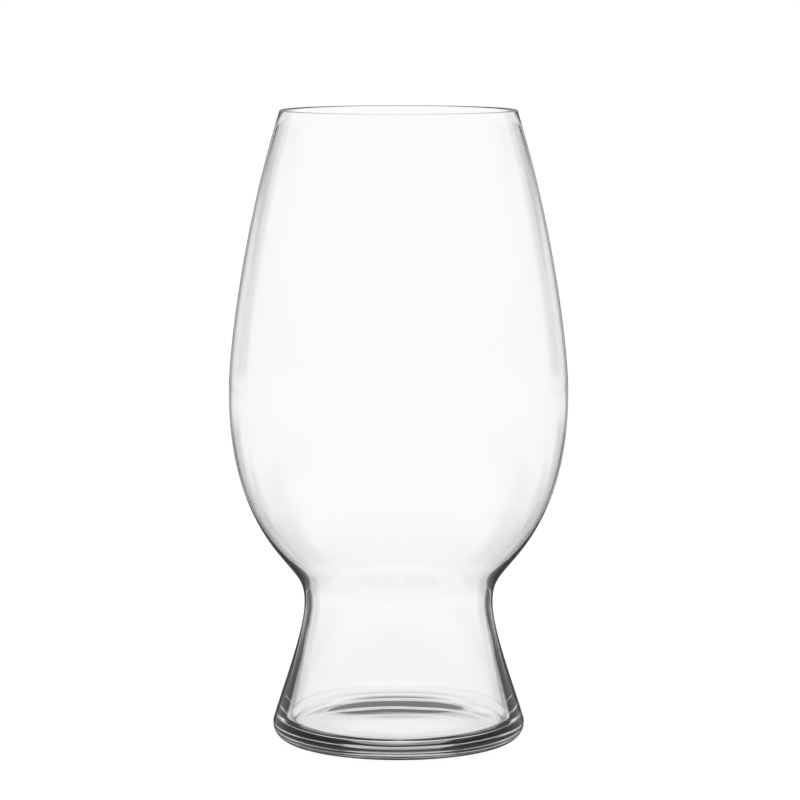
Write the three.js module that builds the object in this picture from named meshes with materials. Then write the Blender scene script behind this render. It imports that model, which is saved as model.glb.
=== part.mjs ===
// Wheat beer glass: a thin tapering bowl, a narrow waist, and a hollow flared foot on a thick bottom.
// Millimetres, +Z up. The origin is the centre of the ring that the glass stands on.
import * as THREE from 'three';

// Heights, stacked from the table up.
const waistHeight = 38.2;       // table to the narrowest level, where the foot ends and the bowl begins
const shoulderRise = 14.2;      // waist to where the bowl's flare turns over into its bulge
const bellyRise = 46.1;         // shoulder to the widest level of the bowl
const rimRise = 76.5;           // widest level to the top of the rim

// Outer radii.
const rimRadius = 32.7;
const bellyRadius = 46.9;
const shoulderRadius = 33.6;
const waistRadius = 26.2;
const footRadius = 35.1;
const footCornerRadius = 4.4;   // rounding between the foot's side and the table

// Glass thicknesses.
const rimWall = 0.8;
const bellyWall = 0.9;
const shoulderWall = 0.89;
const waistWall = 1.6;
const heelWall = 3.43;          // the foot's side, measured level, just above the floor
const floorThickness = 4.3;     // table to the top of the floor, at its edge

// Leanings of the walls from plumb, in degrees.
const rimLean = 17.3;
const shoulderLean = 39;
const shoulderInnerLean = 40.6;
const boreLean = 1.7;           // inside of the waist, which narrows on a little below the outside
const footLean = 17;
const footInnerLean = 11.1;

// How far the outline keeps to the lean of each station before it bends away.
const rimReach = 34.9;
const bellyReachUp = 9.3;
const bellyReachDown = 7.0;
const shoulderReachUp = 22.0;
const shoulderReachDown = 8.6;
const waistReachUp = 6.4;
const waistReachDown = 7.7;
const boreReachUp = 7.2;
const boreReachDown = 6.6;
const heelReach = 8.3;
const heelInnerReach = 11.9;

// Bottom.
const floorFillet = 2.3;        // between the foot's inner side and the floor
const heelLand = 0.4;           // straight wall left above the floor's fillet and the foot's corner
const standingRingWidth = 1.5;  // flat ring that touches the table
const floorDish = 0.83;         // how far the floor sinks to its centre
const floorReach = 9.6;         // how far the floor stays level from its centre out
const floorEdgeReach = 13.3;    // how far it stays level from its edge in
const puntDepth = 0.5;          // hollow under the bottom, at its centre
const puntReach = 13.5;         // how far the hollow stays level from its centre out
const puntEdgeReach = 5;        // how far it stays low from the standing ring in

// Fineness of the mesh.
const sidesAround = 56;
const stepsPerBend = 7;
const stepsPerArc = 4;

const clearGlass = { color: 0xf3f6f5, roughness: 0.03, metalness: 0, transparent: true, opacity: 0.35 };

const radians = THREE.MathUtils.degToRad;
const spot = (radius, height) => new THREE.Vector2(radius, height);
const start = (curve) => curve.getPoint(0);
const finish = (curve) => curve.getPoint(1);
const along = (from, direction, distance) => from.clone().addScaledVector(direction, distance);

// For a wall that leans outward by an angle on its way down: the way up it, and the way out of it.
const upward = (lean) => spot(-Math.sin(radians(lean)), Math.cos(radians(lean)));
const outward = (lean) => spot(Math.cos(radians(lean)), Math.sin(radians(lean)));

const line = (from, to) => new THREE.LineCurve(from, to);

function arc(centre, radius, fromDegrees, toDegrees) {
  const clockwise = toDegrees < fromDegrees;
  return new THREE.EllipseCurve(
    centre.x, centre.y, radius, radius, radians(fromDegrees), radians(toDegrees), clockwise,
  );
}

// A station is a place on a wall, the wall's lean there, and its reaches above and below.
const station = (at, lean, reachUp, reachDown) => ({ at, lean, reachUp, reachDown });

function climb(lower, upper) {
  return new THREE.CubicBezierCurve(
    lower.at,
    along(lower.at, upward(lower.lean), lower.reachUp),
    along(upper.at, upward(upper.lean), -upper.reachDown),
    upper.at,
  );
}

function descend(upper, lower) {
  const { v0, v1, v2, v3 } = climb(lower, upper);
  return new THREE.CubicBezierCurve(v3, v2, v1, v0);
}

// A bend between two levels that sets out and arrives level.
function level(from, reachFrom, to, reachTo) {
  return new THREE.CubicBezierCurve(
    from,
    along(from, spot(1, 0), reachFrom),
    along(to, spot(1, 0), -reachTo),
    to,
  );
}

// Levels that several pieces share.
const shoulderHeight = waistHeight + shoulderRise;
const bellyHeight = shoulderHeight + bellyRise;
const overallHeight = bellyHeight + rimRise;
const cornerTop = footCornerRadius * (1 + Math.sin(radians(footLean)));
const filletTop = floorThickness + floorFillet * (1 + Math.sin(radians(footInnerLean)));
const heelHeight = Math.max(cornerTop, filletTop) + heelLand;

// Rim: a fire-polished half round from the outside of the bowl over to the inside.
const rimCentre = spot(rimRadius - rimWall / 2, overallHeight - rimWall / 2);
const rimRound = arc(rimCentre, rimWall / 2, rimLean, 180 + rimLean);

// Foot corner: from the standing ring up to the foot's side, which runs on straight to the heel.
const cornerCentre = spot(footRadius - footCornerRadius, footCornerRadius);
const footCorner = arc(cornerCentre, footCornerRadius, -90, footLean);
const heelRise = (heelHeight - finish(footCorner).y) / Math.cos(radians(footLean));
const heelOuter = along(finish(footCorner), upward(footLean), heelRise);

const outside = {
  rim: station(start(rimRound), rimLean, 0, rimReach),
  belly: station(spot(bellyRadius, bellyHeight), 0, bellyReachUp, bellyReachDown),
  shoulder: station(spot(shoulderRadius, shoulderHeight), -shoulderLean, shoulderReachUp, shoulderReachDown),
  waist: station(spot(waistRadius, waistHeight), 0, waistReachUp, waistReachDown),
  heel: station(heelOuter, footLean, heelReach, 0),
};

// The inside follows the outside, a wall's thickness in.
const shoulderInner = along(outside.shoulder.at, outward(-shoulderLean), -shoulderWall);
const inside = {
  rim: station(finish(rimRound), rimLean, 0, rimReach),
  belly: station(spot(bellyRadius - bellyWall, bellyHeight), 0, bellyReachUp, bellyReachDown),
  shoulder: station(shoulderInner, -shoulderInnerLean, shoulderReachUp, shoulderReachDown),
  waist: station(spot(waistRadius - waistWall, waistHeight), -boreLean, boreReachUp, boreReachDown),
  heel: station(spot(heelOuter.x - heelWall, heelHeight), footInnerLean, heelInnerReach, 0),
};

// Revolves an outline that goes up the outside and down the inside, closing on itself or on the axis.
function turned(name, curves) {
  const outline = [];
  for (const curve of curves) {
    const steps = curve.isLineCurve ? 1 : curve.isEllipseCurve ? stepsPerArc : stepsPerBend;
    outline.push(...curve.getPoints(steps).slice(0, -1));
  }
  const last = finish(curves.at(-1));
  outline.push(last.x > 0 ? outline[0].clone() : last);
  const geometry = new THREE.LatheGeometry(outline, sidesAround).rotateX(Math.PI / 2);
  const mesh = new THREE.Mesh(geometry, new THREE.MeshStandardMaterial(clearGlass));
  mesh.name = name;
  return mesh;
}

function bowl() {
  return turned('bowl', [
    climb(outside.waist, outside.shoulder),
    climb(outside.shoulder, outside.belly),
    climb(outside.belly, outside.rim),
    rimRound,
    descend(inside.rim, inside.belly),
    descend(inside.belly, inside.shoulder),
    descend(inside.shoulder, inside.waist),
    line(inside.waist.at, outside.waist.at),
  ]);
}

function foot() {
  return turned('foot', [
    climb(outside.heel, outside.waist),
    line(outside.waist.at, inside.waist.at),
    descend(inside.waist, inside.heel),
    line(inside.heel.at, outside.heel.at),
  ]);
}

function base() {
  const ringInner = spot(cornerCentre.x - standingRingWidth, 0);
  const punt = level(spot(0, puntDepth), puntReach, ringInner, puntEdgeReach);
  const filletDrop = (heelHeight - filletTop) / Math.cos(radians(footInnerLean));
  const filletStart = along(inside.heel.at, upward(footInnerLean), -filletDrop);
  const filletCentre = along(filletStart, outward(footInnerLean), -floorFillet);
  const filletRound = arc(filletCentre, floorFillet, footInnerLean, -90);
  return turned('base', [
    punt,
    line(ringInner, start(footCorner)),
    footCorner,
    line(finish(footCorner), outside.heel.at),
    line(outside.heel.at, inside.heel.at),
    line(inside.heel.at, filletStart),
    filletRound,
    level(finish(filletRound), -floorEdgeReach, spot(0, floorThickness - floorDish), -floorReach),
  ]);
}

const glass = new THREE.Group();
glass.add(bowl(), foot(), base());

export default glass;
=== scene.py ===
# Wheat beer glass of clear blown glass, on a white table in bright-field light.
from math import cos, pi, radians, sin

import bmesh
import bpy
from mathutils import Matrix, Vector
from mathutils.geometry import interpolate_bezier


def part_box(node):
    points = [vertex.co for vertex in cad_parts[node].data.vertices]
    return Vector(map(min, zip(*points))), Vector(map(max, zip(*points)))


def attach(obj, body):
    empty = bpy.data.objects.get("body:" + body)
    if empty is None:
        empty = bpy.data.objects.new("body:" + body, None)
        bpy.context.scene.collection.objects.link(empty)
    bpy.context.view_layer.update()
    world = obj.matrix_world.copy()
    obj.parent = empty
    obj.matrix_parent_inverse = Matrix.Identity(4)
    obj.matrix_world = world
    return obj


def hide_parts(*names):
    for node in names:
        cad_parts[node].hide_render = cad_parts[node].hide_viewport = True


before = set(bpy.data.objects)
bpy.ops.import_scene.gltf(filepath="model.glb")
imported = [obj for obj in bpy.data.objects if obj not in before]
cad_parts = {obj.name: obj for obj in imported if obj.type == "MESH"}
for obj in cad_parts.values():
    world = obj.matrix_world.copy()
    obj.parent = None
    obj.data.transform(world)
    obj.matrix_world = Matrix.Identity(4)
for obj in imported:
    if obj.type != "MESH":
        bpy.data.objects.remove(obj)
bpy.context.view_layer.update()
print("frame loaded:", len(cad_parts), "nodes")

mm = 0.001
scene = bpy.context.scene


def linear(hexColour):
    # sRGB hex to linear RGBA
    parts = [int(hexColour[i:i + 2], 16) / 255 for i in (1, 3, 5)]
    return [c / 12.92 if c <= 0.04045 else ((c + 0.055) / 1.055) ** 2.4 for c in parts] + [1]


def addNode(tree, kind, settings=None, **inputs):
    # settings are the node's own properties; inputs are sockets to link or values to set
    node = tree.nodes.new(kind)
    for name, value in (settings or {}).items():
        setattr(node, name, value)
    for name, value in inputs.items():
        key = int(name[1:]) if name[0] == "i" and name[1:].isdigit() else name.replace("_", " ")
        if isinstance(value, bpy.types.NodeSocket):
            tree.links.new(value, node.inputs[key])
        else:
            node.inputs[key].default_value = value
    return node


def newMaterial(name):
    made = bpy.data.materials.new(name)
    made.use_nodes = True
    made.node_tree.nodes.clear()
    return made, made.node_tree


def newObject(name, bm, material):
    mesh = bpy.data.meshes.new(name)
    bm.to_mesh(mesh)
    bm.free()
    mesh.materials.append(material)
    made = bpy.data.objects.new(name, mesh)
    scene.collection.objects.link(made)
    return made


# Outline of the glass, in millimetres. Heights and the widest radii come from the frame.
bowlLow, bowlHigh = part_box("bowl")
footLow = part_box("foot")[0]
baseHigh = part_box("base")[1]

glassForm = {
    "rimTop": bowlHigh.z / mm,
    "waistHeight": bowlLow.z / mm,
    "heelHeight": footLow.z / mm,
    "bellyRadius": bowlHigh.x / mm,
    "footRadius": baseHigh.x / mm,
    "shoulderRise": 14.2,        # waist to where the flare turns over into the bulge
    "bellyRise": 46.1,           # shoulder to the widest level
    "rimRadius": 32.7,
    "shoulderRadius": 33.6,
    "waistRadius": 26.2,
    "footCorner": 4.4,           # rounding between the foot's side and the table
    "rimWall": 0.8,
    "bellyWall": 0.9,
    "shoulderWall": 0.89,
    "waistWall": 1.6,
    "heelWall": 3.43,
    "floorThickness": 4.3,
    "floorFillet": 2.3,
    "floorDish": 0.83,           # how far the floor sinks to its centre
    "ringWidth": 1.5,            # flat ring that touches the table
    "puntDepth": 0.5,            # hollow under the bottom
    "rimLean": 17.3,             # leans are from plumb, in degrees
    "shoulderLean": 39,
    "shoulderInnerLean": 40.6,
    "boreLean": 1.7,
    "footLean": 17,
    "footInnerLean": 11.1,
    "rimReach": 34.9,            # reaches: how far a wall keeps its lean before it bends away
    "bellyReachUp": 9.3,
    "bellyReachDown": 7.0,
    "shoulderReachUp": 22.0,
    "shoulderReachDown": 8.6,
    "waistReachUp": 6.4,
    "waistReachDown": 7.7,
    "boreReachUp": 7.2,
    "boreReachDown": 6.6,
    "heelReach": 8.3,
    "heelInnerReach": 11.9,
    "floorReach": 9.6,
    "floorEdgeReach": 13.3,
    "puntReach": 13.5,
    "puntEdgeReach": 5,
    "bendSteps": 26,
    "arcSteps": 14,
    "aroundSteps": 240,
    "mergeWithin": 0.001,
}


def upward(lean):
    return Vector((-sin(radians(lean)), 0, cos(radians(lean))))


def outward(lean):
    return Vector((cos(radians(lean)), 0, sin(radians(lean))))


def arc(centre, radius, start, end, steps):
    return [centre + outward(start + (end - start) * i / steps) * radius for i in range(steps + 1)]


def glassOutline(f):
    # from the centre of the underside, out, up the outside, over the rim, down the inside to the floor's centre
    spot = lambda radius, height: Vector((radius, 0, height))
    bends = f["bendSteps"]
    arcs = f["arcSteps"]

    def climb(lower, upper):
        lowAt, lowLean, lowReach = lower[0], lower[1], lower[2]
        topAt, topLean, topReach = upper[0], upper[1], upper[3]
        return interpolate_bezier(
            lowAt, lowAt + upward(lowLean) * lowReach, topAt - upward(topLean) * topReach, topAt, bends
        )

    def level(start, startReach, end, endReach):
        return interpolate_bezier(start, start + spot(startReach, 0), end - spot(endReach, 0), end, bends)

    shoulderHeight = f["waistHeight"] + f["shoulderRise"]
    bellyHeight = shoulderHeight + f["bellyRise"]
    rimCentre = spot(f["rimRadius"] - f["rimWall"] / 2, f["rimTop"] - f["rimWall"] / 2)
    rimRound = arc(rimCentre, f["rimWall"] / 2, f["rimLean"], 180 + f["rimLean"], arcs)

    cornerCentre = spot(f["footRadius"] - f["footCorner"], f["footCorner"])
    footCorner = arc(cornerCentre, f["footCorner"], -90, f["footLean"], arcs)
    heelRise = (f["heelHeight"] - footCorner[-1].z) / cos(radians(f["footLean"]))
    heelOuter = footCorner[-1] + upward(f["footLean"]) * heelRise

    # each station: place, lean, reach above, reach below
    shoulderAt = spot(f["shoulderRadius"], shoulderHeight)
    outside = {
        "rim": (rimRound[0], f["rimLean"], 0, f["rimReach"]),
        "belly": (spot(f["bellyRadius"], bellyHeight), 0, f["bellyReachUp"], f["bellyReachDown"]),
        "shoulder": (shoulderAt, -f["shoulderLean"], f["shoulderReachUp"], f["shoulderReachDown"]),
        "waist": (spot(f["waistRadius"], f["waistHeight"]), 0, f["waistReachUp"], f["waistReachDown"]),
        "heel": (heelOuter, f["footLean"], f["heelReach"], 0),
    }
    inside = {
        "rim": (rimRound[-1], f["rimLean"], 0, f["rimReach"]),
        "belly": (
            spot(f["bellyRadius"] - f["bellyWall"], bellyHeight),
            0, f["bellyReachUp"], f["bellyReachDown"],
        ),
        "shoulder": (
            shoulderAt - outward(-f["shoulderLean"]) * f["shoulderWall"],
            -f["shoulderInnerLean"], f["shoulderReachUp"], f["shoulderReachDown"],
        ),
        "waist": (
            spot(f["waistRadius"] - f["waistWall"], f["waistHeight"]),
            -f["boreLean"], f["boreReachUp"], f["boreReachDown"],
        ),
        "heel": (heelOuter - spot(f["heelWall"], 0), f["footInnerLean"], f["heelInnerReach"], 0),
    }

    filletTop = f["floorThickness"] + f["floorFillet"] * (1 + sin(radians(f["footInnerLean"])))
    filletDrop = (f["heelHeight"] - filletTop) / cos(radians(f["footInnerLean"]))
    filletStart = inside["heel"][0] - upward(f["footInnerLean"]) * filletDrop
    filletCentre = filletStart - outward(f["footInnerLean"]) * f["floorFillet"]
    fillet = arc(filletCentre, f["floorFillet"], f["footInnerLean"], -90, arcs)

    ringInner = spot(cornerCentre.x - f["ringWidth"], 0)
    order = ["heel", "waist", "shoulder", "belly", "rim"]
    points = level(spot(0, f["puntDepth"]), f["puntReach"], ringInner, f["puntEdgeReach"])
    points += footCorner
    for low, top in zip(order, order[1:]):
        points += climb(outside[low], outside[top])
    points += rimRound
    for low, top in reversed(list(zip(order, order[1:]))):
        points += reversed(climb(inside[low], inside[top]))
    points += fillet
    floorCentre = spot(0, f["floorThickness"] - f["floorDish"])
    points += level(fillet[-1], -f["floorEdgeReach"], floorCentre, -f["floorReach"])
    return points


# Soda-lime glass, blown and fire-polished: clear, with hard reflections and a slow waviness left from blowing.
# Where it is thick, in the foot and the bottom, it looks a little greyer.
glassFinish = {
    "tint": "#ffffff",
    "depthTint": "#bcbcb8",      # colour that thick glass takes on
    "depthPerMetre": 16,         # how fast it does so
    "ior": 1.52,
    "roughness": 0.0,
    "waveLength": 26,            # mm between the swells of the wall
    "waveHeight": 0.010,         # mm
    "bottomWaveLength": 13,      # mm, in the thick bottom, which sets more unevenly than the walls
    "bottomWaveHeight": 0.16,    # mm
    "bottomHeight": (5, 13),     # mm above the table, where that unevenness fades out
}


def sodaLimeGlass():
    made, tree = newMaterial("sodaLimeGlass")
    place = addNode(tree, "ShaderNodeTexCoord")
    swell = addNode(
        tree, "ShaderNodeTexNoise", Vector=place.outputs["Object"],
        Scale=1 / (glassFinish["waveLength"] * mm), Detail=1.0, Roughness=0.4,
    )
    wave = addNode(
        tree, "ShaderNodeBump", Height=swell.outputs["Fac"],
        Strength=1.0, Distance=glassFinish["waveHeight"] * mm,
    )
    ripple = addNode(
        tree, "ShaderNodeTexNoise", Vector=place.outputs["Object"],
        Scale=1 / (glassFinish["bottomWaveLength"] * mm), Detail=0.0,
    )
    axes = addNode(tree, "ShaderNodeSeparateXYZ", Vector=place.outputs["Object"])
    low, high = [limit * mm for limit in glassFinish["bottomHeight"]]
    bottom = addNode(
        tree, "ShaderNodeMapRange", {"interpolation_type": "SMOOTHSTEP"}, Value=axes.outputs["Z"],
        From_Min=low, From_Max=high, To_Min=1.0, To_Max=0.0,
    )
    uneven = addNode(
        tree, "ShaderNodeBump", Height=ripple.outputs["Fac"], Strength=bottom.outputs["Result"],
        Distance=glassFinish["bottomWaveHeight"] * mm, Normal=wave.outputs["Normal"],
    )
    shader = addNode(
        tree, "ShaderNodeBsdfPrincipled", Normal=uneven.outputs["Normal"],
        Base_Color=linear(glassFinish["tint"]), Roughness=glassFinish["roughness"],
        IOR=glassFinish["ior"], Transmission_Weight=1.0,
    )
    depth = addNode(
        tree, "ShaderNodeVolumeAbsorption", Color=linear(glassFinish["depthTint"]),
        Density=glassFinish["depthPerMetre"],
    )
    addNode(tree, "ShaderNodeOutputMaterial", Surface=shader.outputs["BSDF"], Volume=depth.outputs["Volume"])
    return made


def makeGlass():
    bm = bmesh.new()
    outline = [bm.verts.new(p * mm) for p in glassOutline(glassForm)]
    for pair in zip(outline, outline[1:]):
        bm.edges.new(pair)
    bmesh.ops.remove_doubles(bm, verts=bm.verts, dist=glassForm["mergeWithin"] * mm)
    bmesh.ops.spin(
        bm, geom=bm.verts[:] + bm.edges[:], axis=(0, 0, 1), cent=(0, 0, 0), angle=2 * pi,
        steps=glassForm["aroundSteps"], use_merge=True,
    )
    bmesh.ops.remove_doubles(bm, verts=bm.verts, dist=glassForm["mergeWithin"] * mm)
    bmesh.ops.recalc_face_normals(bm, faces=bm.faces)
    for face in bm.faces:
        face.smooth = True
    return newObject("wheatBeerGlass", bm, sodaLimeGlass())


glass = makeGlass()
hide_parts("bowl", "foot", "base")
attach(glass, "root")
print("glass made:", len(glass.data.polygons), "faces")


# Camera: a long lens a metre off, a little above the rim, where the photograph was taken from.
cameraPlace = {
    "at": (0.0004, -0.988, 0.2124),
    "pitch": 6.79,               # degrees down
    "lens": 161.7,
    "sensor": 36.0,
}


def makeCamera():
    data = bpy.data.cameras.new("camera")
    data.lens = cameraPlace["lens"]
    data.sensor_width = cameraPlace["sensor"]
    made = bpy.data.objects.new("camera", data)
    made.location = cameraPlace["at"]
    made.rotation_euler = (radians(90 - cameraPlace["pitch"]), 0, 0)
    scene.collection.objects.link(made)
    scene.camera = made
    return made


camera = makeCamera()
bpy.context.view_layer.update()
print("camera placed")


# Table: white, with only a breath of the glass's shadow.
tableSet = {
    "half": 6.0,
    "colour": "#f4f4f4",
    "white": 1.03,
    "lit": 0.93,                 # share of the white that needs no lamp
}


def tablePaint():
    made, tree = newMaterial("whiteTablePaint")
    paint = addNode(tree, "ShaderNodeBsdfDiffuse", Color=linear(tableSet["colour"]))
    white = addNode(tree, "ShaderNodeEmission", Color=(1, 1, 1, 1), Strength=tableSet["white"])
    mixed = addNode(
        tree, "ShaderNodeMixShader", Fac=tableSet["lit"], i1=paint.outputs["BSDF"], i2=white.outputs["Emission"]
    )
    addNode(tree, "ShaderNodeOutputMaterial", Surface=mixed.outputs["Shader"])
    return made


def makeTable():
    bm = bmesh.new()
    bmesh.ops.create_grid(bm, x_segments=1, y_segments=1, size=tableSet["half"])
    made = newObject("table", bm, tablePaint())
    made.visible_transmission = False
    made.visible_glossy = False
    return made


# Light tents around the glass: a white screen behind it between black flags, with strip lights past the flags.
# They hang from the camera, so that a view from any side has the screen behind the glass.
# What is seen through the glass and what shines on its skin are set apart, each with its own tent.
# A panel ends or begins at degrees round from behind, and has its foot and top at degrees up.
# Each border fades from the first angle to the second.
tentSegments = 96
screenTentSet = {
    "cloth": "whiteScreenCloth",
    "radius": 3.0,
    "least": 0.001,              # the black flags
    "panels": [
        {"ends": (14.5, 20.5), "foot": (-55, -22), "top": (8, 16), "level": 1.0},    # screen behind the glass
        {"ends": (13, 16.5), "foot": (-19, 5), "top": (41, 49), "level": 0.46},      # its dimmer upper part
        {"ends": (17.5, 24.5), "top": (-40, -24), "level": 0.85},                    # white table below it
        {"begins": (13, 23.5), "foot": (-6.5, -3.5), "top": (3, 7), "level": 1.0},   # low strip all round
        {"begins": (37, 46), "foot": (-31, -29), "top": (8, 22), "level": 0.94},     # strips past the flags
        {"begins": (41, 71), "foot": (-46, -23), "top": (-23, -16), "level": 1.0},   # table before them
        {"begins": (52, 95), "foot": (-60, -30), "top": (35, 70), "level": 0.88},    # light from the front
        {"begins": (44, 56), "foot": (30, 40), "level": 0.9},                        # high up at the sides
    ],
}
sideTentSet = {
    "cloth": "whiteSideCloth",
    "radius": 3.3,
    "least": 0.12,               # what is left behind the glass
    "panels": [
        {"begins": (15, 32), "level": 0.55},                                         # sides
        {"begins": (20, 34), "top": (-34, -14), "level": 0.95},                      # table
        {"begins": (90, 130), "level": 0.75},                                        # front
        {"foot": (2, 14), "level": 0.9},                                             # above
    ],
}


# Bleached tent cloth, lit from outside: soft-edged white panels with no weave to see.
def tentCloth(tentSet):
    made, tree = newMaterial(tentSet["cloth"])
    place = addNode(tree, "ShaderNodeTexCoord")
    way = addNode(tree, "ShaderNodeVectorMath", {"operation": "NORMALIZE"}, i0=place.outputs["Object"])
    axes = addNode(tree, "ShaderNodeSeparateXYZ", Vector=way.outputs["Vector"])
    turn = addNode(tree, "ShaderNodeMath", {"operation": "ARCTAN2"}, i0=axes.outputs["X"], i1=axes.outputs["Y"])
    aside = addNode(tree, "ShaderNodeMath", {"operation": "ABSOLUTE"}, i0=turn.outputs[0])
    rise = addNode(tree, "ShaderNodeMath", {"operation": "ARCSINE"}, i0=axes.outputs["Z"])
    # each border: the angle that it is read on, and the panel's share before and past it
    borders = {"ends": (aside, 1, 0), "begins": (aside, 0, 1), "foot": (rise, 0, 1), "top": (rise, 1, 0)}
    brightest = tentSet["least"]
    for panel in tentSet["panels"]:
        lit = panel["level"]
        for border, (angle, before, past) in borders.items():
            if border in panel:
                share = addNode(
                    tree, "ShaderNodeMapRange", {"interpolation_type": "SMOOTHSTEP"}, Value=angle.outputs[0],
                    From_Min=radians(panel[border][0]), From_Max=radians(panel[border][1]),
                    To_Min=before, To_Max=past,
                )
                dimmed = addNode(
                    tree, "ShaderNodeMath", {"operation": "MULTIPLY"}, i0=lit, i1=share.outputs["Result"]
                )
                lit = dimmed.outputs[0]
        brighter = addNode(tree, "ShaderNodeMath", {"operation": "MAXIMUM"}, i0=lit, i1=brightest)
        brightest = brighter.outputs[0]
    light = addNode(tree, "ShaderNodeEmission", Color=(1, 1, 1, 1), Strength=brightest)
    addNode(tree, "ShaderNodeOutputMaterial", Surface=light.outputs["Emission"])
    return made


def makeTent(name, tentSet):
    bm = bmesh.new()
    bmesh.ops.create_uvsphere(
        bm, u_segments=tentSegments, v_segments=tentSegments // 2, radius=tentSet["radius"]
    )
    made = newObject(name, bm, tentCloth(tentSet))
    made.visible_camera = False
    made.visible_diffuse = False
    made.visible_shadow = False
    made.parent = camera
    made.matrix_parent_inverse = camera.matrix_world.inverted()
    return made


table = makeTable()
screen = makeTent("screenTent", screenTentSet)
screen.visible_glossy = False
sides = makeTent("sideTent", sideTentSet)
sides.visible_transmission = False
print("table and light tents made")


def makeWorld():
    world = bpy.data.worlds.new("studio")
    world.use_nodes = True
    tree = world.node_tree
    tree.nodes.clear()
    sky = addNode(tree, "ShaderNodeBackground", Color=(1, 1, 1, 1), Strength=1.0)
    addNode(tree, "ShaderNodeOutputWorld", Surface=sky.outputs["Background"])
    scene.world = world


makeWorld()
scene.view_settings.view_transform = "Standard"
# enough turns for light to come out of the thick bottom
scene.cycles.max_bounces = 24
scene.cycles.transmission_bounces = 24
scene.cycles.glossy_bounces = 6
print("world lit")
